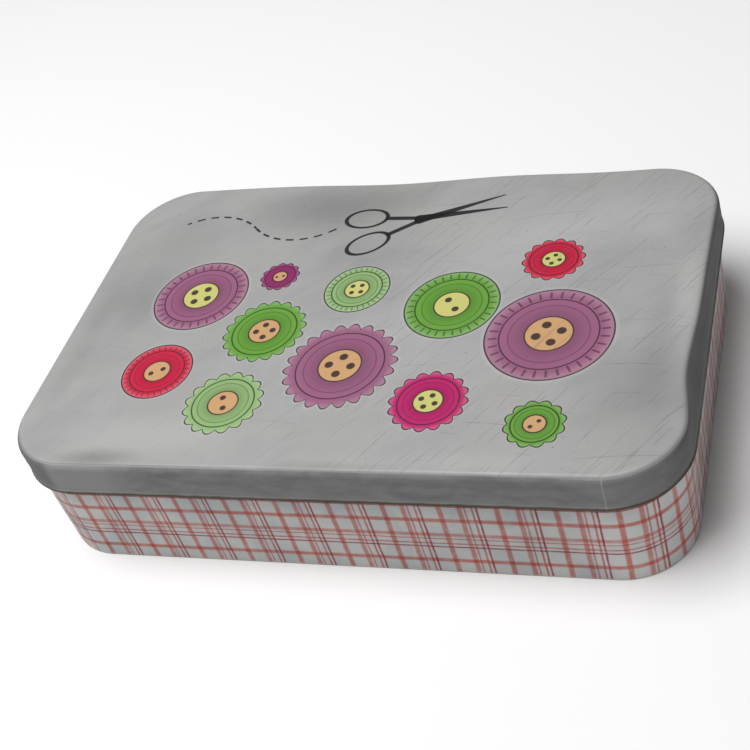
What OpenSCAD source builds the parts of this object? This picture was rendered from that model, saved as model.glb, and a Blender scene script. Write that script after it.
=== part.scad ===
// Sewing tin: a flat oblong tin with rounded corners and a slip lid.
// Three pieces of tinplate: a pressed lid with a rolled hem, a wall band closed by a lock seam
// and rolled at its rim, and a base panel folded into the lower edge of the band.
// The origin is at the middle of the underside, +X runs along the length and +Z points up.

/* [Overall] */
// Length over the hem of the lid
lid_l = 200; // [150:1:280]
// Width over the hem of the lid
lid_w = 130; // [90:1:200]
// Height of the closed tin
tin_h = 42.5; // [32:0.5:90]
// Radius of the corners, seen from above, over the hem of the lid
corner_r = 22; // [18:0.5:36]
// Thickness of the tinplate
sheet_t = 0.3; // [0.25:0.05:0.4]

/* [Lid] */
// Depth of the lid, from its top to the lower edge of its hem
skirt_h = 12; // [8:0.5:20]
// Outer radius of the shoulder between the flat top and the skirt
shoulder_r = 2; // [1.2:0.1:3]
// Diameter of the rolled hem
hem_d = 1.6; // [1.5:0.1:2.4]
// How far the rolled hem stands proud of the skirt
hem_proud = 0.4; // [0.3:0.05:0.5]

/* [Fit of the lid] */
// Gap between the hem and the wall, all round
slip_gap = 0.25; // [0.15:0.05:0.6]
// Gap between the underside of the lid and the rim that it comes down on
seat_gap = 0.3; // [0.3:0.05:0.6]

/* [Wall] */
// Diameter of the rolled rim at the top of the wall
rim_d = 1.6; // [1.4:0.1:2.2]
// Width of the lock seam that joins the ends of the band, at the back
lock_w = 4; // [3:0.5:6]
// Depth of the line that the lock seam leaves outside
lock_line_d = 0.1; // [0.05:0.05:0.15]
// Width of that line
lock_line_w = 0.4; // [0.2:0.1:0.8]

/* [Base] */
// Height of the folded leg that the base panel hooks over
leg_h = 1.8; // [1.4:0.1:3]
// Gap between the layers of the folded seam
fold_gap = 0.1; // [0.05:0.05:0.15]
// Outer radius of the bends in the folded seam
bend_r = 0.35; // [0.31:0.02:0.45]
// Height of the base panel above the surface that the tin stands on
base_rise = 0.8; // [0.5:0.1:1.2]
// Distance from the folded seam to the middle of the stiffening bead
bead_inset = 7; // [5:0.5:9]
// Width of the stiffening bead pressed into the base panel
bead_w = 3; // [2:0.5:4]
// Height of the stiffening bead
bead_h = 0.6; // [0.4:0.1:0.8]

/* [Hidden] */
$fn = 96;
// Facets on a bend or a roll of the sheet, which is small
roll_fn = 32;
// Angles, from outwards and counter-clockwise, where the raw edge of each roll stops
hem_edge_from = 112;
hem_edge_to = 140;
rim_edge_from = 290;
rim_edge_to = 335;

// The wall stands inside the hem by the roll and the gap
wall_inset = hem_d + slip_gap;
wall_l = lid_l - 2 * wall_inset;
wall_w = lid_w - 2 * wall_inset;
wall_r = corner_r - wall_inset;
wall_h = tin_h - sheet_t - seat_gap;

// Depths of the layers of the folded seam, measured inwards from the outside of the wall
hook_x = sheet_t + fold_gap;
leg_x = hook_x + sheet_t + fold_gap;
sink_x = leg_x + sheet_t + fold_gap;
hook_top = leg_h + fold_gap + sheet_t;
hook_bottom = sheet_t + fold_gap;
bead_x = sink_x + sheet_t + bead_inset;
// The arc through the two edges and the crown of the stiffening bead
bead_r = (bead_w * bead_w / 4 + bead_h * bead_h) / (2 * bead_h);

// A flat shape with the outline of the tin, in by the given distance from l, w and r
module plan(l, w, r, inset = 0) {
    offset_l = l - 2 * inset;
    offset_w = w - 2 * inset;
    offset_r = r - inset;
    square([offset_l - 2 * offset_r, offset_w], center = true);
    square([offset_l, offset_w - 2 * offset_r], center = true);
    for (x = [-1, 1], y = [-1, 1])
        translate([x * (offset_l / 2 - offset_r), y * (offset_w / 2 - offset_r)])
            circle(r = offset_r);
}

// Runs a section of the sheet right round the outline. In the section, x is zero at the outline
// and negative inside it, and y is the height.
module around(l, w, r) {
    for (turn = [0:3]) {
        run = turn % 2 == 0 ? l - 2 * r : w - 2 * r;
        out = turn % 2 == 0 ? w / 2 : l / 2;
        rotate([0, 0, 90 * turn])
            translate([run / 2, -out, 0])
                rotate([90, 0, -90])
                    linear_extrude(run)
                        children();
        rotate([0, 0, 90 * turn])
            translate([run / 2, -out + r, 0])
                rotate([0, 0, -90])
                    rotate_extrude(angle = 90)
                        translate([r, 0])
                            children();
    }
}

// A straight run of sheet in a section, between two corners
module run(x0, y0, x1, y1) {
    translate([x0, y0])
        square([x1 - x0, y1 - y0]);
}

// A quarter bend of sheet in a section. The centre of the bend is at x, y, its outer radius is
// bend_radius, and it fills the quarter that starts at the angle from.
module bend(x, y, bend_radius, from) {
    translate([x, y])
        rotate(from)
            intersection() {
                difference() {
                    circle(r = bend_radius, $fn = roll_fn);
                    circle(r = bend_radius - sheet_t, $fn = roll_fn);
                }
                square(bend_radius);
            }
}

// A roll of sheet of diameter d in a section, open between the two angles where its raw edge is
module roll(d, edge_from, edge_to) {
    difference() {
        circle(d = d, $fn = roll_fn);
        circle(d = d - 2 * sheet_t, $fn = roll_fn);
        polygon([
            [0, 0],
            d * [cos(edge_from), sin(edge_from)],
            d * [cos(edge_to), sin(edge_to)]
        ]);
    }
}

// The space under a shoulder of the given radius in a section, down to the height foot
module under_shoulder(bend_radius, foot) {
    shoulder_x = -hem_proud - shoulder_r;
    shoulder_y = tin_h - shoulder_r;
    translate([shoulder_x, shoulder_y])
        circle(r = bend_radius, $fn = roll_fn);
    translate([shoulder_x, foot])
        square([bend_radius, shoulder_y - foot]);
}

// The sheet of the lid's edge: the shoulder, the skirt and the rolled hem
module lid_section() {
    hem_y = tin_h - skirt_h + hem_d / 2;
    // The skirt ends inside the sheet of the roll
    skirt_rise = sqrt(pow(hem_d / 2, 2) - pow(hem_d / 2 - hem_proud, 2)) - sheet_t / 3;
    difference() {
        under_shoulder(shoulder_r, hem_y + skirt_rise);
        under_shoulder(shoulder_r - sheet_t, hem_y);
        translate([-hem_proud - 3 * shoulder_r, hem_y])
            square([2 * shoulder_r, skirt_h + shoulder_r]);
    }
    translate([-hem_d / 2, hem_y])
        roll(hem_d, hem_edge_from, hem_edge_to);
}

module lid() {
    color("#a4a5a5") {
        around(lid_l, lid_w, corner_r)
            lid_section();
        translate([0, 0, tin_h - sheet_t])
            linear_extrude(sheet_t)
                plan(lid_l, lid_w, corner_r, hem_proud + shoulder_r);
    }
}

// The sheet of the wall: the fold that takes the base, the wall and the rolled rim
module wall_section() {
    fold_w = leg_x + sheet_t;
    bend(-bend_r, bend_r, bend_r, 270);
    bend(-fold_w + bend_r, bend_r, bend_r, 180);
    run(-fold_w + bend_r, 0, -bend_r, sheet_t);
    run(-fold_w, bend_r, -leg_x, leg_h);
    run(-sheet_t, bend_r, 0, wall_h - rim_d / 2);
    translate([-rim_d / 2, wall_h - rim_d / 2])
        roll(rim_d, rim_edge_from, rim_edge_to);
}

// The folded layers of the lock seam, on the inside of the back wall
module lock_seam() {
    lock_layers = 2;
    lock_bottom = hook_top + fold_gap;
    lock_top = wall_h - rim_d - fold_gap;
    translate([-lock_w / 2, wall_w / 2 - (1 + lock_layers) * sheet_t, lock_bottom])
        cube([lock_w, lock_layers * sheet_t, lock_top - lock_bottom]);
}

module body_wall() {
    color("#d2c6c4")
        difference() {
            union() {
                around(wall_l, wall_w, wall_r)
                    wall_section();
                lock_seam();
            }
            // The line where the two ends of the band meet, outside
            translate([lock_w / 2 - lock_line_w / 2, wall_w / 2 - lock_line_d, bend_r])
                cube([lock_line_w, 2 * lock_line_d, wall_h - rim_d / 2 - bend_r]);
        }
}

// The sheet of the base panel's edge: the hook over the folded leg, the wall of the recess and
// the stiffening bead
module base_section() {
    hook_out = -hook_x;
    sink_in = -sink_x - sheet_t;
    run(hook_out - sheet_t, hook_bottom, hook_out, hook_top - bend_r);
    bend(hook_out - bend_r, hook_top - bend_r, bend_r, 0);
    run(sink_in + bend_r, hook_top - sheet_t, hook_out - bend_r, hook_top);
    bend(sink_in + bend_r, hook_top - bend_r, bend_r, 90);
    run(sink_in, base_rise, sink_in + sheet_t, hook_top - bend_r);
    run(-bead_x + bead_w / 2, base_rise, sink_in, base_rise + sheet_t);
    bead_arch();
    run(-bead_x - bead_w, base_rise, -bead_x - bead_w / 2, base_rise + sheet_t);
}

// The arch of the stiffening bead in a section
module bead_arch() {
    intersection() {
        translate([-bead_x, base_rise + bead_h - bead_r])
            difference() {
                circle(r = bead_r + sheet_t);
                circle(r = bead_r);
            }
        translate([-bead_x - bead_w, base_rise])
            square([2 * bead_w, bead_w]);
    }
}

module base_panel() {
    color("#b4b5b3") {
        around(wall_l, wall_w, wall_r)
            base_section();
        translate([0, 0, base_rise])
            linear_extrude(sheet_t)
                plan(wall_l, wall_w, wall_r, bead_x + bead_w);
    }
}

lid();
body_wall();
base_panel();
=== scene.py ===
import math

import bmesh
import bpy
import numpy as np
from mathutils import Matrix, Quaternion, Vector


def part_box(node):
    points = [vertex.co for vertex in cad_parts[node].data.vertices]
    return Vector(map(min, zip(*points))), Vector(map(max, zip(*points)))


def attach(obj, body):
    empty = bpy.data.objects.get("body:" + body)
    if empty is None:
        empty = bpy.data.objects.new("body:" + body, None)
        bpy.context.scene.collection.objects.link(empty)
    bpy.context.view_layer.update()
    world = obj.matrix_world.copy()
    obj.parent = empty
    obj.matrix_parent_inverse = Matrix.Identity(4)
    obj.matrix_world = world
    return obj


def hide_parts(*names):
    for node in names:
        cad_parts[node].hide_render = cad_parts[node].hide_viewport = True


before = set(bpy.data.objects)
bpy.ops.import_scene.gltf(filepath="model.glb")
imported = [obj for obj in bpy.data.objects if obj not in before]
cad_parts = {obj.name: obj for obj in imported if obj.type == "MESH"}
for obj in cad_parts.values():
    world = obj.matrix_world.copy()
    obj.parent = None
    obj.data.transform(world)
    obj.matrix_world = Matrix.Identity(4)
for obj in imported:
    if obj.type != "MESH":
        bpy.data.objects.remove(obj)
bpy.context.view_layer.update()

mm = 0.001

# Camera.
# The tin is seen from above its front right corner, through a lens a little longer than normal.
# The camera is rolled, so that the tin climbs to the right in the frame.
look_at = Vector((-12.37, 14.54, 0)) * mm
camera_azimuth = 0.5013
camera_elevation = 0.72
camera_distance = 438.3 * mm
camera_roll = -0.3505

towards_camera = Vector((
    math.sin(camera_azimuth) * math.cos(camera_elevation),
    -math.cos(camera_azimuth) * math.cos(camera_elevation),
    math.sin(camera_elevation),
))
camera = bpy.data.objects.new("camera", bpy.data.cameras.new("camera"))
camera.data.lens = 63.9
camera.data.sensor_width = 36
camera.data.clip_start = 0.01
camera.location = look_at + towards_camera * camera_distance
camera.rotation_mode = "QUATERNION"
camera.rotation_quaternion = (
    (-towards_camera).to_track_quat("-Z", "Y") @ Quaternion((0, 0, 1), camera_roll)
)
bpy.context.scene.collection.objects.link(camera)
bpy.context.scene.camera = camera

# Floor and light.
# A plain pale floor under one wide softbox. It hangs overhead, a little to the front and to the
# left, so that the right end of the tin is darker than its front.
bpy.context.scene.view_settings.view_transform = "Standard"
floor_half = 3.0
floor_colour = (0.86, 0.86, 0.86, 1)
room_colour = (1, 1, 1, 1)
room_strength = 0.17
softbox_size = 0.9
softbox_at = Vector((-0.35, -0.2, 1.15))
softbox_power = 18.1


def place(name, mesh):
    """A new object with that mesh, at the origin."""
    made = bpy.data.objects.new(name, mesh)
    bpy.context.scene.collection.objects.link(made)
    return made


def finish_of(name):
    """A new material, with its node tree and its Principled shader."""
    made = bpy.data.materials.new(name)
    made.use_nodes = True
    return made, made.node_tree, made.node_tree.nodes["Principled BSDF"]


floor_mesh = bpy.data.meshes.new("floor")
floor_mesh.from_pydata(
    [(x * floor_half, y * floor_half, 0) for x, y in ((-1, -1), (1, -1), (1, 1), (-1, 1))],
    [], [(0, 1, 2, 3)],
)
floor = place("floor", floor_mesh)
floor_finish, _, floor_shader = finish_of("pale floor")
floor_shader.inputs["Base Color"].default_value = floor_colour
floor_shader.inputs["Roughness"].default_value = 0.9
floor_mesh.materials.append(floor_finish)

room = bpy.data.worlds.new("room")
room.use_nodes = True
room.node_tree.nodes["Background"].inputs["Color"].default_value = room_colour
room.node_tree.nodes["Background"].inputs["Strength"].default_value = room_strength
bpy.context.scene.world = room

lamp = bpy.data.lights.new("softbox overhead", "AREA")
lamp.size = softbox_size
lamp.energy = softbox_power
softbox = place("softbox overhead", lamp)
softbox.location = softbox_at
softbox.rotation_mode = "QUATERNION"
softbox.rotation_quaternion = (-softbox_at).to_track_quat("-Z", "Y")

# Wall band.
# The wall is one strip of tinplate, printed outside with a plaid and bent round to the outline.
# Its lower edge is folded inwards and up to hold the base, and its upper edge is rolled inwards
# into a smooth hollow rim. The ends of the strip meet at a lock seam in the middle of the back.
sheet = 0.3 * mm
wall_low, wall_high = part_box("body_wall")
wall_length = wall_high.x - wall_low.x
wall_width = wall_high.y - wall_low.y
wall_height = wall_high.z
wall_corner = 20.15 * mm
fold_bend = 0.35 * mm
fold_width = 1.1 * mm
leg_height = 1.8 * mm
rim_radius = 0.8 * mm
rim_turn = 290
lock_width = 4 * mm
lock_line_width = 0.4 * mm
lock_line_depth = 0.1 * mm
lock_line_at = lock_width / 2 - lock_line_width / 2
wall_dent_reach = 17


class Wire:
    """What an output of a node gives. Sums with wires add Math nodes to their tree, so that a
    formula reads here as it does on paper."""

    def __init__(self, plug):
        self.plug = plug
        self.tree = plug.id_data

    def __add__(self, other):
        return calc("ADD", self, other)

    def __sub__(self, other):
        return calc("SUBTRACT", self, other)

    def __rsub__(self, other):
        return calc("SUBTRACT", other, self)

    def __mul__(self, other):
        return calc("MULTIPLY", self, other)

    def __truediv__(self, other):
        return calc("DIVIDE", self, other)

    def __rtruediv__(self, other):
        return calc("DIVIDE", other, self)

    def __mod__(self, other):
        return calc("FLOORED_MODULO", self, other)

    def __abs__(self):
        return calc("ABSOLUTE", self)


def fill(made, inputs):
    """Puts numbers or wires into the inputs of a node."""
    for name, value in inputs.items():
        if isinstance(value, Wire):
            value.tree.links.new(value.plug, made.inputs[name])
        else:
            made.inputs[name].default_value = value


def add(tree, kind, inputs=None, **settings):
    """A new node with its settings, and with numbers or wires in its inputs."""
    made = tree.nodes.new(kind)
    for name, value in settings.items():
        setattr(made, name, value)
    fill(made, inputs or {})
    return made


def node(tree, kind, inputs=None, out=0, **settings):
    """The wire from one output of a new node: the first, unless another is named."""
    return Wire(add(tree, kind, inputs, **settings).outputs[out])


def wires_of(made):
    """The wires from all outputs of a node, by name."""
    return {plug.name: Wire(plug) for plug in made.outputs}


def tree_of(values):
    """The tree that the first wire among some values runs in."""
    return next(value.tree for value in values if isinstance(value, Wire))


def calc(operation, *terms):
    """The result of a Math node."""
    return node(tree_of(terms), "ShaderNodeMath", dict(enumerate(terms)), operation=operation)


def calc_vector(operation, *terms):
    """The vector that a Vector Math node gives."""
    return node(tree_of(terms), "ShaderNodeVectorMath", dict(enumerate(terms)), operation=operation)


def vector(x=0.0, y=0.0, z=0.0):
    """A vector made of three numbers or wires."""
    return node(tree_of((x, y, z)), "ShaderNodeCombineXYZ", {"X": x, "Y": y, "Z": z})


def parts_of(value):
    """The X, Y and Z of a vector."""
    return wires_of(add(value.tree, "ShaderNodeSeparateXYZ", {"Vector": value})).values()


def capture(geometry, kind, values):
    """Keeps values on the points of a geometry, for use after they have moved. Gives the geometry
    and the kept values by name."""
    made = add(geometry.tree, "GeometryNodeCaptureAttribute", {"Geometry": geometry})
    for name in values:
        made.capture_items.new(kind, name)
    fill(made, values)
    return wires_of(made)


def named_tree(kind, name, inputs, outputs):
    """An empty node tree with named sockets. An input is given with its usual number, or with its
    kind where it has none. Gives the tree, the wires that come in, and the node that takes what
    goes out."""
    tree = bpy.data.node_groups.new(name, kind)
    for label, usual in inputs.items():
        is_number = not isinstance(usual, str)
        plug = tree.interface.new_socket(
            label, in_out="INPUT", socket_type="NodeSocket" + ("Float" if is_number else usual))
        if is_number:
            plug.default_value = usual
    for label, of_kind in outputs.items():
        tree.interface.new_socket(label, in_out="OUTPUT", socket_type="NodeSocket" + of_kind)
    return tree, wires_of(tree.nodes.new("NodeGroupInput")), tree.nodes.new("NodeGroupOutput")


def arc(centre, radius, start, stop, steps):
    """Points along an arc of a section line, from one angle to another, in degrees."""
    return [
        (centre[0] + radius * math.cos(math.radians(angle)),
         centre[1] + radius * math.sin(math.radians(angle)))
        for angle in np.linspace(start, stop, steps + 1)
    ]


def section_mesh(name, points):
    """A chain of edges, as the host of a tree that runs it round the tin."""
    mesh = bpy.data.meshes.new(name)
    mesh.from_pydata(
        [(x, y, 0) for x, y in points], [(i, i + 1) for i in range(len(points) - 1)], [])
    return mesh


def run_round(path, section, length, width, radius):
    """Nodes that run a section round an outline with rounded corners. In the section, X is the
    distance outwards from the outline and Y is the height. Gives the sheet and the height on it."""
    tree = path.tree
    here = node(tree, "GeometryNodeInputPosition")
    on_path = capture(path, "VECTOR", {"Path Point": here})
    section_curve = node(tree, "GeometryNodeMeshToCurve", {"Mesh": section})
    on_section = capture(section_curve, "VECTOR", {"Section Point": here})
    swept = node(tree, "GeometryNodeCurveToMesh", {
        "Curve": on_path["Geometry"], "Profile Curve": on_section["Geometry"]})
    corner = vector(length * 0.5 - radius, width * 0.5 - radius)
    core = calc_vector(
        "MAXIMUM", calc_vector("MINIMUM", on_path["Path Point"], corner),
        calc_vector("MULTIPLY", corner, (-1, -1, 0)))
    flat_point = calc_vector("MULTIPLY", on_path["Path Point"], (1, 1, 0))
    outwards = calc_vector("NORMALIZE", calc_vector("SUBTRACT", flat_point, core))
    section_x, section_y, _ = parts_of(on_section["Section Point"])
    side = node(tree, "ShaderNodeVectorMath", {
        0: outwards, "Scale": radius + section_x}, operation="SCALE")
    sheet_at = calc_vector("ADD", calc_vector("ADD", core, side), vector(z=section_y))
    placed = node(tree, "GeometryNodeSetPosition", {"Geometry": swept, "Position": sheet_at})
    return placed, section_y


def close_tree(geometry, finish, leave_by, label):
    """The last nodes of a tree: the sheet is welded, shaded smooth and given its finish."""
    tree = geometry.tree
    welded = node(tree, "GeometryNodeMergeByDistance", {
        "Geometry": geometry, "Distance": 0.004 * mm})
    smooth = node(tree, "GeometryNodeSetShadeSmooth", {"Geometry": welded})
    real = node(tree, "GeometryNodeRealizeInstances", {"Geometry": smooth})
    painted = node(tree, "GeometryNodeSetMaterial", {"Geometry": real, "Material": finish})
    fill(leave_by, {label: painted})


def grow(name, host_mesh, tree, sizes):
    """Runs a tree on a host mesh with the given sizes, and gives the result as a plain object."""
    made = place(name, host_mesh)
    modifier = made.modifiers.new(tree.name, "NODES")
    modifier.node_group = tree
    for item in tree.interface.items_tree:
        if item.in_out == "INPUT" and item.name in sizes:
            modifier[item.identifier] = sizes[item.name]
    depsgraph = bpy.context.evaluated_depsgraph_get()
    made.data = bpy.data.meshes.new_from_object(made.evaluated_get(depsgraph))
    made.modifiers.clear()
    return made


def face_outwards(piece):
    """Turns all faces of an open sheet to its outer side, judged at its outermost face."""
    shell = bmesh.new()
    shell.from_mesh(piece.data)
    bmesh.ops.recalc_face_normals(shell, faces=shell.faces)
    outermost = max(shell.faces, key=lambda face: face.calc_center_median().x)
    if outermost.normal.x < 0:
        bmesh.ops.reverse_faces(shell, faces=shell.faces)
    shell.to_mesh(piece.data)
    shell.free()


def bump(value, middle, reach):
    """A smooth bump of height 1."""
    return np.exp(-(((value - middle) / reach) ** 2))


def dent(piece, reach_down):
    """Pushes in the knocks along the top edge: one near the front of the right end, and a long
    wave along the back. They fade towards the middle of the lid and down the side. All sizes
    here are in millimetres."""
    edge_x, edge_y, edge_z = 99.6, 64.6, 41.5
    knock_y, knock_to_back, knock_to_front = -25, 17, 13
    end_reach_in, back_reach_in = 9, 13
    points = np.empty(len(piece.data.vertices) * 3)
    piece.data.vertices.foreach_get("co", points)
    points = points.reshape(-1, 3) / mm
    x, y, z = points.T
    high_up = 1 - np.clip((edge_z - z) / reach_down, 0, 1)
    high_up = high_up * high_up * (3 - 2 * high_up)
    # The knock is longer to the back than to the front, and has a shallow hollow behind it. Each
    # bump is a depth, at a place along the edge, with its reach
    knock_reach = np.where(y > knock_y, knock_to_back, knock_to_front)
    knock = 2.1 * bump(y, knock_y, knock_reach) + 0.9 * bump(y, 10, 34)
    knock *= np.where(x > 0, bump(np.clip(edge_x - x, 0, None), 0, end_reach_in), 0)
    wave = 2.3 * bump(x, -4, 30) + 1.1 * bump(x, 62, 26)
    wave *= np.where(y > 0, bump(np.clip(edge_y - y, 0, None), 0, back_reach_in), 0)
    x -= knock * high_up
    y -= 0.5 * wave * high_up
    # The back right corner sags a little as well
    corner_dip = 1.15 * bump(x, 82, 52) * bump(y, 65, 38)
    z -= (0.35 * knock + 0.42 * wave + corner_dip) * high_up
    piece.data.vertices.foreach_set("co", (points * mm).ravel())
    piece.data.update()


def thicken(piece, outside, inside):
    """Gives a sheet its finish on each side, and its thickness inwards."""
    piece.data.materials.clear()
    piece.data.materials.append(outside)
    piece.data.materials.append(inside)
    modifier = piece.modifiers.new("sheet", "SOLIDIFY")
    modifier.thickness = sheet
    modifier.offset = -1
    modifier.use_even_offset = True
    modifier.material_offset = 1
    modifier.material_offset_rim = 1


wall_tree, given, result = named_tree("GeometryNodeTree", "band round the outline", {
    "Section": "Geometry", "Length": 0.2, "Width": 0.13, "Corner Radius": 0.02, "Step": 0.002,
    "Seam At": 0.002, "Seam Line Width": 0.0004, "Seam Line Depth": 0.0001, "Finish": "Material",
}, {"Band": "Geometry"})
outline = node(wall_tree, "GeometryNodeFilletCurve", {
    "Curve": node(wall_tree, "GeometryNodeCurvePrimitiveQuadrilateral", {
        "Width": given["Length"], "Height": given["Width"]}),
    "Radius": given["Corner Radius"], "Count": 24,
}, mode="POLY")
girth = node(wall_tree, "GeometryNodeCurveLength", {"Curve": outline})
# The rings of points stand one step apart. The first and the last meet at the seam and are sunk,
# and the ones next to them stand half the width of its line away
ring = node(wall_tree, "GeometryNodeInputIndex")
rings = calc("ROUND", girth / given["Step"]) + 3
plain_run = (ring - 1) * (girth / (rings - 3))
plain_run = calc("MINIMUM", girth, calc("MAXIMUM", 0.0, plain_run))


def is_ring(number):
    """1 on the ring of points with that number, and 0 on all others."""
    return calc("COMPARE", ring, number, 0.1)


run_length = plain_run + given["Seam Line Width"] * 0.5 * (is_ring(1) - is_ring(rings - 2))
quarter = given["Corner Radius"] * (math.pi / 2 - 1)
seam_from_start = quarter + given["Length"] * 0.5 - given["Seam At"]
ring_place = node(wall_tree, "GeometryNodeSampleCurve", {
    "Curves": outline, "Length": (seam_from_start + run_length) % girth,
}, "Position", mode="LENGTH")
chain = capture(node(wall_tree, "GeometryNodeMeshLine", {"Count": rings}), "FLOAT", {
    "Run": run_length, "End": is_ring(0) + is_ring(rings - 1)})
bent_chain = node(wall_tree, "GeometryNodeSetPosition", {
    "Geometry": chain["Geometry"], "Position": ring_place})
band, band_height = run_round(
    node(wall_tree, "GeometryNodeMeshToCurve", {"Mesh": bent_chain}),
    given["Section"], given["Length"], given["Width"], given["Corner Radius"])
sunk = node(wall_tree, "GeometryNodeSetPosition", {
    "Geometry": band, "Offset": vector(y=chain["End"] * given["Seam Line Depth"] * -1)})
run_from_front = chain["Run"] - (girth * 0.5 + given["Seam At"])
charted = node(wall_tree, "GeometryNodeStoreNamedAttribute", {
    "Geometry": sunk, "Name": "UVMap", "Value": vector(run_from_front, band_height),
}, data_type="FLOAT2", domain="CORNER")
close_tree(charted, given["Finish"], result, "Band")

# Heights of the rows of points between the fold and the rim, in millimetres
wall_rows = np.arange(1.5, 40.6, 1.5)
wall_line = (
    [(-fold_width, leg_height), (-fold_width, 0.7 * leg_height)]
    + arc((-fold_width + fold_bend, fold_bend), fold_bend, 180, 270, 4)
    + arc((-fold_bend, fold_bend), fold_bend, 270, 360, 4)
    + [(0, height * mm) for height in wall_rows]
    + arc((-rim_radius, wall_height - rim_radius), rim_radius, 0, rim_turn, 20)
)


def put(group, inputs):
    """Places a node group with its own values. Gives its outputs by name."""
    made = tree_of(inputs.values()).nodes.new("ShaderNodeGroup")
    made.node_tree = group
    fill(made, inputs)
    return wires_of(made)


def blend(share, first, second, kind="MIX"):
    """The first colour, mixed with the second by a share."""
    return node(share.tree, "ShaderNodeMix", {"Factor": share, "A": first, "B": second},
                "Result", data_type="RGBA", blend_type=kind)


def ramp(value, start, stop, low=0.0, high=1.0):
    """Goes smoothly from low to high while the value goes from start to stop."""
    return node(value.tree, "ShaderNodeMapRange", {
        "Value": value, "From Min": start, "From Max": stop, "To Min": low, "To Max": high,
    }, interpolation_type="SMOOTHSTEP")


def fade(value, start, stop, strength=1.0):
    """Goes smoothly from that strength to nothing while the value goes from start to stop."""
    return ramp(value, start, stop, strength, 0.0)


def noise(point, grain, detail=3.0, roughness=0.55):
    """Soft noise from 0 to 1, with blotches of about the given size."""
    return node(point.tree, "ShaderNodeTexNoise", {
        "Vector": point, "Scale": 1 / grain, "Detail": detail, "Roughness": roughness})


def relief(height, depth, strength):
    """The normal of a surface with a fine relief of that depth."""
    return node(height.tree, "ShaderNodeBump", {
        "Strength": strength, "Distance": depth, "Height": height})


def grey(shade):
    """A grey with no tint."""
    return (shade, shade, shade, 1)


# Tinplate never looks even: it is clouded by handling and shows a fine grain close to.
cloudy_tin, given, result = named_tree("ShaderNodeTree", "cloudy tinplate", {
    "Point": "Vector", "Cloud Scale": 40.0, "Dark": "Color", "Light": "Color", "Grain": 0.1,
}, {"Colour": "Color", "Clouds": "Float", "Grain": "Float"})
clouds = ramp(node(cloudy_tin, "ShaderNodeTexNoise", {
    "Vector": given["Point"], "Scale": given["Cloud Scale"], "Detail": 4.0, "Roughness": 0.6,
    "Distortion": 0.4,
}), 0.3, 0.7)
fine_grain = noise(given["Point"], 0.5 * mm, 2.0)
clouded = blend(clouds, given["Dark"], given["Light"])
fill(result, {
    "Colour": blend(fine_grain * given["Grain"], clouded, grey(0)),
    "Clouds": clouds, "Grain": fine_grain,
})

# Where an edge rubs, its finish wears off in a thin broken line. On the lid's shoulder the same
# mask also draws a thin line of painted shade.
wear_and_shade_line, given, result = named_tree("ShaderNodeTree", "wear and shade line", {
    "Point": "Vector", "Rise": 0.0, "Height": 0.04, "Half Width": 0.0004, "Wear": 0.5,
}, {"Mask": "Float"})
from_line = abs(given["Rise"] - given["Height"]) / given["Half Width"]
patchy = noise(given["Point"], 7 * mm, 4.0, 0.65)
fill(result, {
    "Mask": fade(from_line, 0.0, 1.0) * ramp(patchy, 0.85 - given["Wear"], 1.0 - given["Wear"])})

# One line of the plaid, repeated at the period of the pattern.
plaid_line, given, result = named_tree("ShaderNodeTree", "plaid line", {
    "Across": 0.0, "Period": 0.016, "Place": 0.0, "Width": 0.001, "Under": "Color",
    "Ink": "Color", "Strength": 1.0,
}, {"Colour": "Color"})
half_period = given["Period"] * 0.5
in_repeat = (given["Across"] - given["Place"] + half_period) % given["Period"]
off_line = abs(in_repeat - half_period) / given["Width"]
line_mask = given["Strength"] * fade(off_line, 0.28, 0.72)
fill(result, {"Colour": blend(line_mask, given["Under"], given["Ink"], "MULTIPLY")})

# The plaid in millimetres: a thick line, a medium one, two thin ones and a dark thin one, the
# same both ways but a little larger in height. Each line has its place, width, ink and strength.
plaid_across = 15.95
plaid_up = 17.2
thick_ink = (0.87, 0.30, 0.25, 1)
thin_ink = (0.83, 0.27, 0.24, 1)
dark_ink = (0.58, 0.08, 0.10, 1)
lines_across = (
    (2.35, 1.5, thick_ink, 1.0), (8.10, 1.4, thick_ink, 0.9), (9.55, 0.5, thin_ink, 0.9),
    (11.55, 0.6, thin_ink, 1.0), (12.80, 0.6, dark_ink, 1.0),
)
lines_up = (
    (5.4, 1.5, thick_ink, 1.0), (16.5, 1.4, thick_ink, 0.85), (14.8, 0.5, thin_ink, 0.9),
    (12.75, 0.6, thin_ink, 0.95), (11.3, 0.6, dark_ink, 0.95),
)
rubbed_pale = (0.80, 0.81, 0.80, 1)
worn_brown = (0.5, 0.47, 0.42, 1)
seam_dirt = (0.09, 0.07, 0.06, 1)

wall_print, print_tree, print_shader = finish_of("plaid lacquer on tinplate")
chart_run, chart_height, _ = parts_of(node(print_tree, "ShaderNodeUVMap", uv_map="UVMap"))
wall_point = node(print_tree, "ShaderNodeTexCoord", out="Object")
wobble = (noise(wall_point, 5 * mm) - 0.5) * (0.35 * mm)
print_run = chart_run + wobble
print_height = chart_height + wobble
wall_tin = put(cloudy_tin, {
    "Point": wall_point, "Cloud Scale": 1 / (16 * mm), "Dark": (0.40, 0.43, 0.44, 1),
    "Light": (0.51, 0.51, 0.495, 1), "Grain": 0.12,
})
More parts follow.
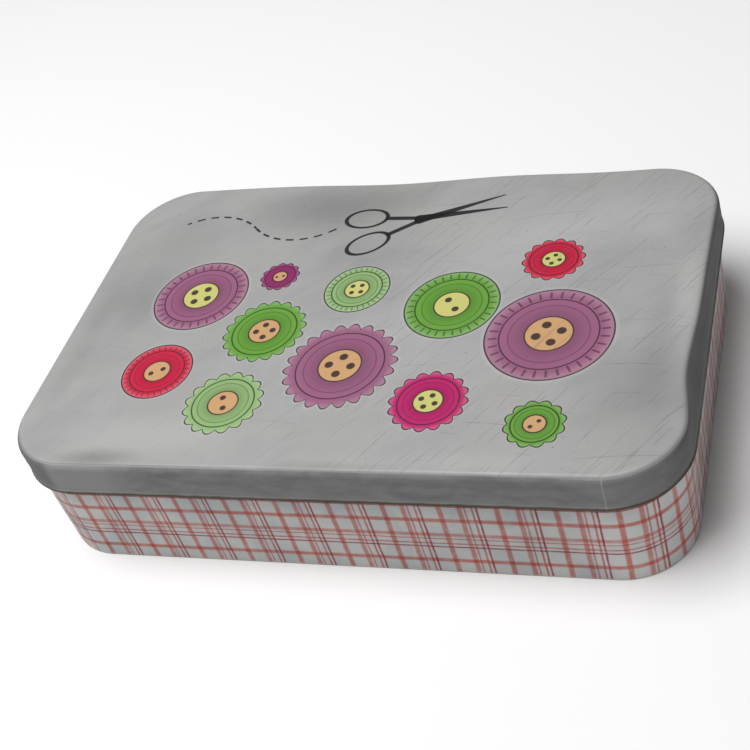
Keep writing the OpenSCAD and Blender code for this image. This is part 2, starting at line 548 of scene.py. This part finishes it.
# The ground is paler at the front right corner, where hands and shelves rub it
wall_x, wall_y, _ = parts_of(wall_point)
corner_rub = ramp(wall_x - wall_y, 133 * mm, 148 * mm, 0.0, 0.36)
printed = blend(corner_rub, wall_tin["Colour"], rubbed_pale)
patchy_ink = ramp(noise(wall_point, 3 * mm), 0.25, 0.6, 0.72, 1.0)
for pattern, period, way in (
        (lines_across, plaid_across, print_run), (lines_up, plaid_up, print_height)):
    for line_at, line_width, ink, strength in pattern:
        printed = put(plaid_line, {
            "Across": way, "Period": period * mm, "Place": line_at * mm,
            "Width": line_width * mm, "Under": printed, "Ink": ink,
            "Strength": patchy_ink * strength,
        })["Colour"]
foot_wear = put(wear_and_shade_line, {
    "Point": wall_point, "Rise": print_height, "Height": 0.3 * mm, "Half Width": 0.7 * mm,
    "Wear": 0.5,
})["Mask"]
printed = blend(foot_wear * 0.5, printed, worn_brown)
# Dirt lies in the fine line where the two ends of the strip meet
wall_girth = 2 * (wall_length + wall_width) - (8 - 2 * math.pi) * wall_corner
seam_run = -wall_girth / 2 - lock_line_at
from_seam = calc("PINGPONG", chart_run - seam_run, wall_girth / 2)
printed = blend(fade(from_seam, 0.1 * mm, 0.35 * mm, 0.75), printed, seam_dirt)
fill(print_shader, {
    "Base Color": printed, "Roughness": ramp(wall_tin["Clouds"], 0.0, 1.0, 0.52, 0.40),
    "Metallic": 0.1, "Specular IOR Level": 0.3,
    "Normal": relief(wall_tin["Grain"], 0.1 * mm, 0.25),
})

# Inside, and underneath, the tinplate is bare: a pale satin metal with faint rolling lines.
rolled_dark = (0.45, 0.45, 0.44, 1)
bare_tin, tin_tree, tin_shader = finish_of("bare tinplate")
tin_point = node(tin_tree, "ShaderNodeTexCoord", out="Object")
rolling_lines = noise(calc_vector("MULTIPLY", tin_point, (0.06, 1, 0.06)), 0.4 * mm)
tin_clouds = put(cloudy_tin, {
    "Point": tin_point, "Cloud Scale": 1 / (22 * mm), "Dark": (0.56, 0.56, 0.55, 1),
    "Light": (0.66, 0.66, 0.64, 1), "Grain": 0.08,
})
fill(tin_shader, {
    "Base Color": blend(
        ramp(rolling_lines, 0.3, 0.7, 0.0, 0.3), tin_clouds["Colour"], rolled_dark),
    "Roughness": ramp(tin_clouds["Clouds"], 0.0, 1.0, 0.44, 0.36),
    "Metallic": 0.85,
    "Normal": relief(rolling_lines, 0.05 * mm, 0.2),
})

wall = grow("wall_band", section_mesh("wall section", wall_line), wall_tree, {
    "Length": wall_length, "Width": wall_width, "Corner Radius": wall_corner, "Step": 2 * mm,
    "Seam At": lock_line_at, "Seam Line Width": lock_line_width,
    "Seam Line Depth": lock_line_depth, "Finish": wall_print,
})
face_outwards(wall)
dent(wall, wall_dent_reach)
thicken(wall, wall_print, bare_tin)
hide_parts("body_wall")
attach(wall, "tin")

# Lock seam.
# The hooked ends of the wall's strip are pressed flat into two more layers of tinplate, which
# stand inside the middle of the back as a narrow upright strip. Its long edges are rounded.
seam_low = 2.3 * mm
seam_high = 40.2 * mm
seam_layers = 2
seam_round = 0.2 * mm
seam_half = lock_width / 2
seam_face = wall_high.y - sheet
round_y = seam_face - seam_layers * sheet + seam_round
seam_line = (
    [(seam_half, seam_face), (-seam_half, seam_face)]
    + arc((seam_round - seam_half, round_y), seam_round, 180, 270, 3)
    + arc((seam_half - seam_round, round_y), seam_round, 270, 360, 3)
)
seam_rows = np.linspace(seam_low, seam_high, 26)
per_row = len(seam_line)
top_row = (len(seam_rows) - 1) * per_row
seam_mesh = bpy.data.meshes.new("lock seam")
seam_mesh.from_pydata(
    [(x, y, height) for height in seam_rows for x, y in seam_line], [],
    [(row + i, row + (i + 1) % per_row, row + per_row + (i + 1) % per_row, row + per_row + i)
     for row in range(0, top_row, per_row) for i in range(per_row)]
    + [tuple(reversed(range(per_row))), tuple(range(top_row, top_row + per_row))],
)
seam = place("lock_seam", seam_mesh)
face_outwards(seam)
dent(seam, wall_dent_reach)
seam.data.materials.append(bare_tin)
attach(seam, "tin")

# Lid.
# The lid is pressed from one sheet: a flat top, a rounded shoulder and a short skirt whose edge
# is rolled inwards into a hollow hem.
lid_low, lid_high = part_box("lid")
lid_length = lid_high.x - lid_low.x
lid_width = lid_high.y - lid_low.y
lid_top = lid_high.z
lid_corner = 22 * mm
hem_radius = 0.8 * mm
hem_proud = 0.4 * mm
hem_turn = -220
shoulder = 2 * mm
flat_inset = hem_proud + shoulder + 0.6 * mm
lid_dent_reach = 9
# The skirt runs into the hem in a small hollow, which meets the roll where the two circles touch
hollow = 0.5 * mm
hem_centre = (-hem_radius, lid_low.z + hem_radius)
hollow_out = -hem_proud + hollow
hollow_up = hem_centre[1] + math.sqrt(
    (hem_radius + hollow) ** 2 - (hollow_out - hem_centre[0]) ** 2)
meet = math.degrees(math.atan2(hollow_up - hem_centre[1], hollow_out - hem_centre[0]))

lid_tree, given, result = named_tree("GeometryNodeTree", "pressed lid", {
    "Section": "Geometry", "Length": 0.2, "Width": 0.13, "Corner Radius": 0.02, "Height": 0.04,
    "Flat Inset": 0.003, "Step": 0.002, "Finish": "Material",
}, {"Lid": "Geometry"})
here = node(lid_tree, "GeometryNodeInputPosition")
flat_x, flat_y, rise = parts_of(here)
flat_length = given["Length"] - given["Flat Inset"] * 2
flat_width = given["Width"] - given["Flat Inset"] * 2
flat_radius = given["Corner Radius"] - given["Flat Inset"]
flat = node(lid_tree, "GeometryNodeMeshGrid", {
    "Size X": flat_length, "Size Y": flat_width,
    "Vertices X": calc("ROUND", flat_length / given["Step"]) + 1,
    "Vertices Y": calc("ROUND", flat_width / given["Step"]) + 1,
})


def past_corner(value, side):
    """How far a point lies past the start of the corner, as a share of the corner's radius, and
    how far out it lies before that."""
    start = given[side] * 0.5 - given["Corner Radius"]
    away = abs(value)
    return calc("MAXIMUM", away - start, 0.0) / flat_radius, calc("MINIMUM", away, start)


def rounded(value, share, other_share, inner):
    """The place of a point once the square corner of the grid is rounded off."""
    pull = calc("SQRT", 1.0 - other_share * other_share * 0.5)
    return calc("SIGN", value) * (inner + flat_radius * (share * pull))


share_x, inner_x = past_corner(flat_x, "Length")
share_y, inner_y = past_corner(flat_y, "Width")
flat_top = node(lid_tree, "GeometryNodeSetPosition", {
    "Geometry": flat,
    "Position": vector(rounded(flat_x, share_x, share_y, inner_x),
                       rounded(flat_y, share_y, share_x, inner_y), given["Height"]),
})
# The rim of the flat top is where an edge has one face, and the section runs round it
faces_at_edge = node(lid_tree, "GeometryNodeInputMeshEdgeNeighbors")
border = node(lid_tree, "GeometryNodeMeshToCurve", {
    "Mesh": flat_top, "Selection": calc("COMPARE", faces_at_edge, 1, 0.1)})
edge, _ = run_round(
    border, given["Section"], given["Length"], given["Width"], given["Corner Radius"])
whole = add(lid_tree, "GeometryNodeJoinGeometry")
for part in (edge, flat_top):
    fill(whole, {"Geometry": part})
charted = node(lid_tree, "GeometryNodeStoreNamedAttribute", {
    "Geometry": Wire(whole.outputs[0]), "Name": "Rise", "Value": rise,
}, data_type="FLOAT", domain="POINT")
close_tree(charted, given["Finish"], result, "Lid")

# Heights of the rows of points down the skirt, in millimetres
skirt_rows = np.arange(39, hollow_up / mm + 0.4, -1)
lid_line = (
    [(-flat_inset, lid_top)]
    + arc((-hem_proud - shoulder, lid_top - shoulder), shoulder, 90, 0, 10)
    + [(-hem_proud, height * mm) for height in skirt_rows]
    + arc((hollow_out, hollow_up), hollow, 180, 180 + meet, 4)
    + arc(hem_centre, hem_radius, meet, hem_turn, 18)[1:]
)

# Every mark and every printed figure has its own place and direction on the sheet. This gives how
# far a point lies from such a place, along that direction and across it. All of them are placed
# and measured in millimetres.
place_and_turn = {"X": 0.0, "Y": 0.0, "Centre X": 0.0, "Centre Y": 0.0, "Turn": 0.0}
own_place, given, result = named_tree(
    "ShaderNodeTree", "own place", place_and_turn, {"Along": "Float", "Across": "Float"})
off_x = given["X"] - given["Centre X"]
off_y = given["Y"] - given["Centre Y"]
turn_cos = calc("COSINE", given["Turn"])
turn_sin = calc("SINE", given["Turn"])
fill(result, {
    "Along": off_x * turn_cos + off_y * turn_sin,
    "Across": off_y * turn_cos - off_x * turn_sin,
})


def from_own_place(inputs):
    """How far a point lies along and across from the place that a figure is given."""
    found = put(own_place, {name: inputs[name] for name in place_and_turn})
    return found["Along"], found["Across"]


def reach_of(x, y):
    """The distance from zero to a point with those two distances along and across."""
    return calc("SQRT", x * x + y * y)


def inked(outside):
    """A mask for ink where the distance outside a figure is negative, with soft edges."""
    return fade(outside, -0.12, 0.12, 0.95)


# The tin is scratched by what lies on it: fine short lines, one in each square of an unseen
# grid, that run about the same way.
scratch_marks, given, result = named_tree("ShaderNodeTree", "scratches", {
    "X": 0.0, "Y": 0.0, "Cell": 30.0, "Turn": 1.0, "Spread": 0.3, "Width": 0.2, "Share": 0.5,
}, {"Mask": "Float"})
cell_x = given["X"] / given["Cell"]
cell_y = given["Y"] / given["Cell"]
column = calc("FLOOR", cell_x)
row = calc("FLOOR", cell_y)
chance = wires_of(add(scratch_marks, "ShaderNodeTexWhiteNoise", {
    "W": given["Cell"] * 3.1 + (column + row * 37.7)}, noise_dimensions="1D"))
turn_chance, place_chance, length_chance = wires_of(add(
    scratch_marks, "ShaderNodeSeparateColor", {"Color": chance["Color"]})).values()
along, across = from_own_place({
    "X": cell_x - column, "Y": cell_y - row, "Centre X": 0.5, "Centre Y": 0.5,
    "Turn": given["Turn"] + given["Spread"] * (turn_chance - 0.5),
})
bow = along * along * 0.12
sideways = across + bow + (place_chance - 0.5) * 0.5
reached = abs(along) / (length_chance * 0.26 + 0.22)
off_scratch = abs(sideways) * given["Cell"] / given["Width"]
in_share = calc("LESS_THAN", chance["Value"], given["Share"])
fill(result, {"Mask": fade(reached, 0.5, 1.0) * fade(off_scratch, 0.3, 1.0) * in_share})

# A soft ellipse that fades to its edge, for smudges, worn places, painted sheen and shade.
soft_patch, given, result = named_tree("ShaderNodeTree", "soft patch", {
    **place_and_turn, "Half Length": 20.0, "Half Width": 10.0}, {"Mask": "Float"})
along, across = from_own_place(given)
out_share = reach_of(along / given["Half Length"], across / given["Half Width"])
fill(result, {"Mask": fade(out_share, 0.0, 1.0)})

# A printed sewing button: an outlined disc with a ring pressed near its rim, a dished middle and
# two or four holes round the middle. Its rim is plain with fine spokes, or scalloped.
line_ink = (0.035, 0.025, 0.03, 1)
rim_light = (0.9, 0.85, 0.85, 1)
spoke_count = 32.0
button_print, given, result = named_tree("ShaderNodeTree", "printed button", {
    **place_and_turn, "Under": "Color", "Colour": "Color", "Middle": "Color", "Radius": 15.0,
    "Scallops": 0.0, "Scallop Depth": 0.0, "Spokes": 0.7, "Hole X": 0.14, "Hole Y": 0.14,
}, {"Colour": "Color"})
along, across = from_own_place(given)
face_x = along / given["Radius"]
face_y = across / given["Radius"]
out_share = reach_of(face_x, face_y)
round_angle = calc("ARCTAN2", face_y, face_x)
scallop = abs(calc("COSINE", round_angle * given["Scallops"] * 0.5))
rim_share = out_share / (1.0 - given["Scallop Depth"] * (1.0 - scallop))
line_half = 0.22 / given["Radius"]


def ring_line(share, line_share, strength):
    """A thin inked ring at a share of the radius."""
    return fade(abs(share - line_share) / line_half, 0.6, 1.4, strength)


# From below upwards: a pale halo, the dished face, the spokes and rings on it, the darker middle
# with its holes, and the outline
halo = blend(fade(rim_share, 1.0, 1.08, 0.25), given["Under"], grey(0.56))
face = blend(fade(out_share, 0.3, 0.72, 0.30), given["Colour"], grey(0))
face = blend(ramp(out_share, 0.80, 0.95, 0.0, 0.10), face, rim_light)
spokes = ramp(calc("COSINE", round_angle * spoke_count), 0.55, 1.0, 0.0, given["Spokes"])
spokes_band = ramp(out_share, 0.78, 0.8) * fade(out_share, 0.92, 0.94)
face = blend(spokes * spokes_band, face, line_ink)
face = blend(ring_line(out_share, 0.76, 0.9), face, line_ink)
face = blend(ring_line(out_share, 0.62, 0.4), face, line_ink)
face = blend(fade(out_share, 0.36, 0.38), face, given["Middle"])
face = blend(ring_line(out_share, 0.37, 0.95), face, line_ink)
from_hole = reach_of(abs(face_x) - given["Hole X"], abs(face_y) - given["Hole Y"])
face = blend(fade(from_hole, 0.065, 0.085, 0.95), face, line_ink)
button = blend(fade(rim_share, 0.985, 1.0), halo, face)
fill(result, {"Colour": blend(ring_line(rim_share, 0.985, 0.95), button, line_ink)})

# A drawn stroke from its start on, thick there and thinner at its end.
black_ink = (0.012, 0.011, 0.012, 1)
drawn_stroke, given, result = named_tree("ShaderNodeTree", "drawn stroke", {
    **place_and_turn, "Under": "Color", "Length": 10.0, "Half Width": 1.0, "Taper": 0.0,
}, {"Colour": "Color"})
along, across = from_own_place(given)
nearest = calc("MINIMUM", given["Length"], calc("MAXIMUM", 0.0, along))
half_here = given["Half Width"] * (1.0 - given["Taper"] * (nearest / given["Length"]))
stroke_mask = inked(reach_of(along - nearest, across) - half_here)
fill(result, {"Colour": blend(stroke_mask, given["Under"], black_ink)})

# A drawn ring or part of one, whole or in stitches.
drawn_ring, given, result = named_tree("ShaderNodeTree", "drawn ring", {
    **place_and_turn, "Under": "Color", "Half Length": 7.0, "Half Breadth": 5.0,
    "Half Width": 0.5, "Half Arc": 3.2, "Stitches": 0.0,
}, {"Colour": "Color"})
along, across = from_own_place(given)
ring_x = along / given["Half Length"]
ring_y = across / given["Half Breadth"]
from_ring = given["Half Length"] * abs(reach_of(ring_x, ring_y) - 1.0)
ring_angle = calc("ARCTAN2", ring_y, ring_x)
in_arc = calc("LESS_THAN", abs(ring_angle), given["Half Arc"])
in_stitch = ramp(calc("COSINE", ring_angle * given["Stitches"]), -0.35, -0.15)
ring_mask = inked(from_ring - given["Half Width"]) * (in_arc * in_stitch)
fill(result, {"Colour": blend(ring_mask, given["Under"], black_ink)})

leaf = (0.130, 0.330, 0.045, 1)
pale_leaf = (0.260, 0.420, 0.170, 1)
mauve = (0.300, 0.110, 0.200, 1)
magenta = (0.480, 0.020, 0.140, 1)
crimson = (0.560, 0.015, 0.055, 1)
plum = (0.300, 0.030, 0.150, 1)
straw = (0.560, 0.540, 0.180, 1)
tan = (0.560, 0.330, 0.160, 1)
# Each button: its place, diameter, colour, middle, holes, scallops and turn
buttons = (
    (-58, 8, 32, mauve, straw, 4, 0, 0.3),
    (-30, -9, 27, leaf, tan, 4, 18, 0.9),
    (-60, -26, 23, crimson, tan, 2, 0, 0.5),
    (-33, 16, 13, plum, tan, 2, 12, 0.2),
    (-5, 9, 21, pale_leaf, straw, 4, 0, 0.1),
    (-33, -39, 25, pale_leaf, tan, 2, 16, 1.9),
    (-1, -24, 35, mauve, tan, 4, 22, 0.7),
    (27, 1, 29, leaf, straw, 2, 0, 2.2),
    (29, -38, 23, magenta, straw, 4, 16, 0.4),
    (58, -12, 37, mauve, tan, 4, 0, 1.1),
    (60, -46, 17, leaf, tan, 2, 12, 0.8),
    (54, 20, 19, crimson, straw, 4, 14, 0.6),
)

warm_grey = (0.385, 0.375, 0.352, 1)
speck_grey = (0.15, 0.145, 0.14, 1)
hem_painted_light = (0.22, 0.22, 0.215, 1)
hem_brown = (0.055, 0.05, 0.03, 1)

lid_finish, lid_nodes, lid_shader = finish_of("printed and worn tinplate")
lid_point = node(lid_nodes, "ShaderNodeTexCoord", out="Object")
lid_x, lid_y, _ = parts_of(calc_vector("DIVIDE", lid_point, (mm, mm, mm)))
lid_rise = node(lid_nodes, "ShaderNodeAttribute", out="Fac", attribute_name="Rise")
lid_up = lid_rise / mm


def on_lid(group, inputs):
    """Places a mark or a printed figure on the lid."""
    return put(group, {"X": lid_x, "Y": lid_y, **inputs})


# The bare top: clouds drawn out along one diagonal, darker mottles and a few warm places
streaked = calc_vector("MULTIPLY", node(lid_nodes, "ShaderNodeVectorRotate", {
    "Vector": lid_point, "Angle": -0.6}, rotation_type="Z_AXIS"), (0.55, 1, 1))
lid_tin = put(cloudy_tin, {
    "Point": streaked, "Cloud Scale": 1 / (26 * mm), "Dark": grey(0.335),
    "Light": (0.395, 0.395, 0.393, 1), "Grain": 0.06,
})
mottle = ramp(noise(streaked, 8 * mm, 4.0, 0.6), 0.62, 0.38, 0.0, 0.12)
tone = blend(mottle, lid_tin["Colour"], grey(0.23))
warmth = ramp(noise(lid_point, 30 * mm, 2.0), 0.45, 0.65, 0.0, 0.35)
tone = blend(warmth, tone, warm_grey)
# Light and dark patches on it: worn and smudged places, and painted sheen and shade, such as
# the painted highlight in a band along the right edge. The middle, half length, half width and
# turn of each, and how far it goes to the light, or below zero to the dark
for patch_x, patch_y, half_length, half_width, patch_turn, gain in (
        (-24, 50, 46, 20, 0.1, -0.30), (-80, 6, 22, 22, 0.4, -0.20),
        (-74, 34, 26, 20, 0.7, -0.12), (40, 26, 34, 44, -0.6, 0.14),
        (14, -12, 44, 20, 0.2, 0.10), (84, -34, 24, 24, 0.6, -0.18),
        (-8, 28, 30, 16, 0.3, -0.12), (94, 4, 5, 24, 0.0, 0.16),
        (88, -22, 7, 34, 0.05, -0.12), (92, 30, 9, 18, 0.0, -0.04),
        (-50, -52, 50, 12, 0.0, 0.12), (40, -60, 60, 6, 0.0, 0.08),
        (-91, -10, 7, 60, 0.0, -0.10), (-66, -61, 20, 5, 0.05, -0.28),
        (5, -63, 24, 4, 0.0, -0.14), (70, 40, 40, 22, 0.3, 0.14)):
    smudge_and_sheen = on_lid(soft_patch, {
        "Centre X": patch_x, "Centre Y": patch_y, "Half Length": half_length,
        "Half Width": half_width, "Turn": patch_turn,
    })["Mask"]
    tone = blend(smudge_and_sheen * (abs(gain) * 2), tone, grey(0.56 if gain > 0 else 0.17))
drawn = tone
for button_x, button_y, diameter, colour, middle_colour, holes, scallops, turn in buttons:
    drawn = on_lid(button_print, {
        "Under": drawn, "Colour": colour, "Middle": middle_colour, "Centre X": button_x,
        "Centre Y": button_y, "Radius": diameter / 2, "Turn": turn, "Scallops": scallops,
        "Scallop Depth": 0.13 if scallops else 0.0, "Spokes": 0.0 if scallops else 0.7,
        "Hole X": 0.14 if holes == 4 else 0.17, "Hole Y": 0.14 if holes == 4 else 0.0,
    })["Colour"]

# The scissors: two blades and two shanks that cross at the pivot, and a ring on each shank. Each
# stroke has its start and end on the scissors, its half width and its taper
scissors_x, scissors_y, scissors_turn = 8, 42, 0.28


def on_scissors(x, y):
    """A place on the lid from a place on the scissors, whose blades point along X."""
    cos, sin = math.cos(scissors_turn), math.sin(scissors_turn)
    return scissors_x + x * cos - y * sin, scissors_y + x * sin + y * cos


for start, stop, half_width, taper in (
        ((-1, 0.6), (27, -3.4), 1.7, 0.85), ((-1, -0.6), (27, 3.4), 1.7, 0.85),
        ((0, 0.4), (-11, 4.2), 0.9, 0.0), ((0, -0.4), (-11, -4.2), 0.9, 0.0)):
    start_x, start_y = on_scissors(*start)
    stop_x, stop_y = on_scissors(*stop)
    drawn = on_lid(drawn_stroke, {
        "Under": drawn, "Centre X": start_x, "Centre Y": start_y,
        "Turn": math.atan2(stop_y - start_y, stop_x - start_x),
        "Length": math.hypot(stop_x - start_x, stop_y - start_y),
        "Half Width": half_width, "Taper": taper,
    })["Colour"]
for side in (1, -1):
    grip_x, grip_y = on_scissors(-18, 6.6 * side)
    drawn = on_lid(drawn_ring, {
        "Under": drawn, "Centre X": grip_x, "Centre Y": grip_y, "Half Length": 7,
        "Half Breadth": 4.6, "Turn": scissors_turn - 0.25 * side, "Half Width": 0.7,
    })["Colour"]
# The running stitch: two arcs that meet in a wave, from the scissors to the left
for stitch_x, stitch_y, stitch_turn, half_arc in (
        (-34, 56, -1.644, 0.744), (-66, 26, 1.43, 0.675)):
    drawn = on_lid(drawn_ring, {
        "Under": drawn, "Centre X": stitch_x, "Centre Y": stitch_y, "Half Length": 21.93,
        "Half Breadth": 21.93, "Turn": stitch_turn, "Half Width": 0.4, "Half Arc": half_arc,
        "Stitches": 28,
    })["Colour"]

# Scratches, more on the right: the size of the squares, turn, spread, width, share of the squares
# that have one, and how dark
right_part = ramp(lid_x, -40, 30, 0.3, 1.0)
broken_up = ramp(noise(lid_point, 3.5 * mm), 0.30, 0.55, 0.3, 1.0)
scratch_strength = right_part * broken_up
for cell_size, scratch_turn, spread, scratch_width, with_scratch, dark in (
        (45, 1.00, 0.14, 0.34, 0.9, 0.30), (37, 1.02, 0.16, 0.30, 0.9, 0.30),
        (28, 0.98, 0.22, 0.26, 0.8, 0.30), (33, 0.10, 0.4, 0.26, 0.6, 0.30),
        (23, 1.04, 0.2, 0.24, 0.8, 0.30), (17, 1.0, 0.3, 0.22, 0.7, 0.28),
        (14, 1.02, 0.12, 0.22, 0.8, 0.26), (11, 0.98, 0.16, 0.20, 0.7, 0.24),
        (15, 0.05, 0.3, 0.20, 0.5, 0.24), (9, 0.9, 2.5, 0.16, 0.4, 0.26)):
    marks = on_lid(scratch_marks, {
        "Cell": cell_size, "Turn": scratch_turn, "Spread": spread, "Width": scratch_width,
        "Share": with_scratch,
    })["Mask"]
    drawn = blend(marks * scratch_strength * dark, drawn, grey(0.11))
specks = ramp(noise(lid_point, 1.3 * mm, 2.0), 0.70, 0.78, 0.0, 0.5)
drawn = blend(specks, drawn, speck_grey)

# The skirt was left grey, with painted shade: darker than the top from high on the shoulder
# down, a little lighter on the hem as painted light, and dark brown along its lower edge.
front_part = ramp(lid_y, -45, -58)
# Where the skirt's painted shade begins: high on the shoulder, where it also damps the highlight
painted_shade_side = ramp(lid_up, 42.47, ramp(front_part, 0.0, 1.0, 41.7, 41.98))
skirt_clouds = noise(calc_vector("MULTIPLY", lid_point, (1, 1, 2.5)), 9 * mm, 4.0, 0.6)
# Painted shade: the skirt's greys are much darker than the top's, for the shade on its sides
shaded_skirt_tone = blend(ramp(skirt_clouds, 0.3, 0.7), (0.144, 0.144, 0.146, 1), grey(0.194))
# Painted light and shade along it, for how the light falls: darker at the left corner and the
# right end, lighter at the front left and towards the right. Each from where to where, by what
# share and to what shade
for skirt_from, skirt_to, part, shade in (
        (-50, -66, 0.75, 0.26), (-80, -84, 0.6, 0.06), (70, 84, 0.25, 0.27), (93, 99, 0.48, 0.06)):
    shaded_skirt_tone = blend(ramp(lid_x, skirt_from, skirt_to, 0.0, part), shaded_skirt_tone, grey(shade))
# Painted light: the hem is a little lighter, where its roll catches the light
shaded_skirt_tone = blend(ramp(lid_up, 34.5, 32.0, 0.0, 0.35), shaded_skirt_tone, hem_painted_light)
drawn = blend(painted_shade_side, drawn, shaded_skirt_tone)
# Thin lines along the shoulder: the dark one at the front left is painted shade where it turns
# down, and the pale ones are worn bare. Height, half width, wear, place and shade
front_left_shade = front_part * ramp(lid_x, 10, -25, 0.0, 0.6)
front_right = front_part * ramp(lid_x, 0, 20, 0.0, 0.3)
right_corner = ramp(lid_x - lid_y, 128, 142, 0.0, 0.5)
for line_up, half_width, wear, seen, shade in (
        (42.38, 0.10, 0.8, front_left_shade, 0.12), (42.12, 0.16, 0.75, front_right, 0.35),
        (41.9, 0.14, 0.85, right_corner, 0.40)):
    shoulder_line = put(wear_and_shade_line, {
        "Point": lid_point, "Rise": lid_rise, "Height": line_up * mm,
        "Half Width": half_width * mm, "Wear": wear,
    })["Mask"]
    drawn = blend(shoulder_line * seen, drawn, grey(shade))
# Two thin light scuffs run down the front of the skirt
for scuff_x, shade in ((79.8, 0.30), (-79.9, 0.22)):
    scuffed = fade(abs(lid_x - scuff_x), 0.08, 0.32, 0.7) * front_part
    drawn = blend(scuffed * painted_shade_side, drawn, grey(shade))
hem_foot = lid_low.z / mm
uneven_up = lid_up + (noise(lid_point, 5 * mm) - 0.5) * 0.5
hem_dark_edge = ramp(uneven_up, hem_foot + 1.45, hem_foot + 1.0, 0.0, 0.95)
fill(lid_shader, {
    "Base Color": blend(hem_dark_edge, drawn, hem_brown),
    "Roughness": (ramp(lid_tin["Clouds"], 0.0, 1.0, 0.5, 0.38)
                  + ramp(lid_up, 42.49, 42.3, 0.0, 0.3)),
    "Metallic": (1.0 - painted_shade_side) * 0.1, "Specular IOR Level": 0.22,
    "Normal": relief(lid_tin["Grain"], 0.15 * mm, 0.3),
})

lid = grow("lid_shell", section_mesh("lid section", lid_line), lid_tree, {
    "Length": lid_length, "Width": lid_width, "Corner Radius": lid_corner, "Height": lid_top,
    "Flat Inset": flat_inset, "Step": 2 * mm, "Finish": lid_finish,
})
face_outwards(lid)
dent(lid, lid_dent_reach)
thicken(lid, lid_finish, bare_tin)
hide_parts("lid")
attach(lid, "lid")

# Base panel.
# The base is pressed from one sheet with a stiffening bead. Its edge hooks over the folded leg of
# the wall, and its finish is bare tinplate.
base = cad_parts["base_panel"]
base.data.materials.clear()
base.data.materials.append(bare_tin)
